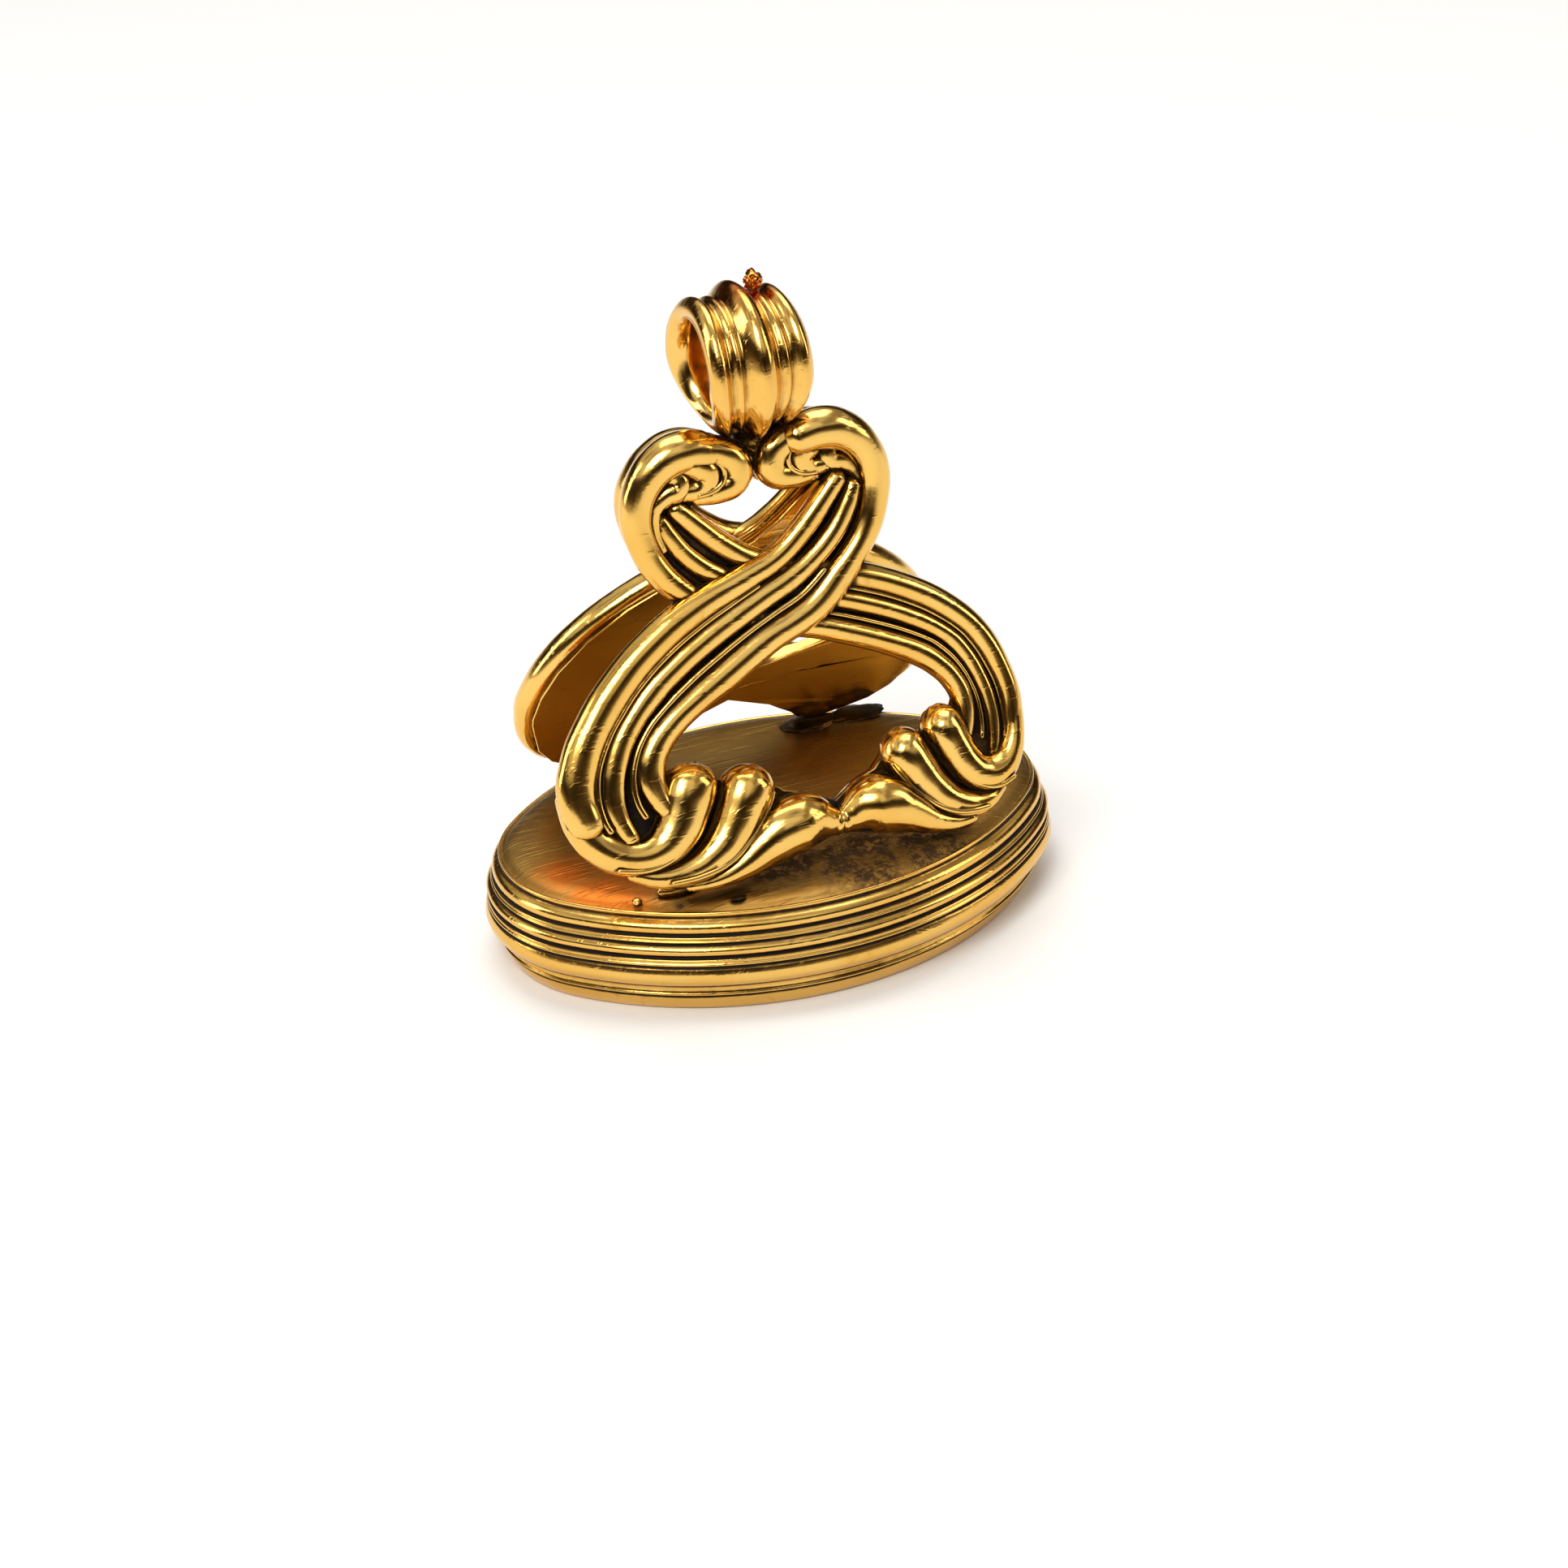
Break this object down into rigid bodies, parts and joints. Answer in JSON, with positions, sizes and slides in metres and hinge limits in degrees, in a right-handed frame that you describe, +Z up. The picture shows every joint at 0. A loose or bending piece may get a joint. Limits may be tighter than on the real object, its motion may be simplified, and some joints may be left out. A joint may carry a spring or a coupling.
{
  "type": "fob seal",
  "caption": "Watch-fob seal: oval moulded base, two openwork scroll plates leaning together and a fluted loop on top, with a plain stone set in the underside.",
  "frame": {"origin": "centre of the underside, on the surface the seal stands on", "axes": "+Z up through the loop, +X along the long way of the oval and along the loop's hole, +Y to the back plate"},
  "size_m": [0.0244, 0.0174, 0.0273],
  "materials": {
    "gold": "worn polished gold, darker in the hollows",
    "stone": "polished hard stone, plain and uncut"
  },
  "bodies": {
    "root": {"scroll_mount": "gold", "seal_stone": "stone"}
  },
  "joints": []
}
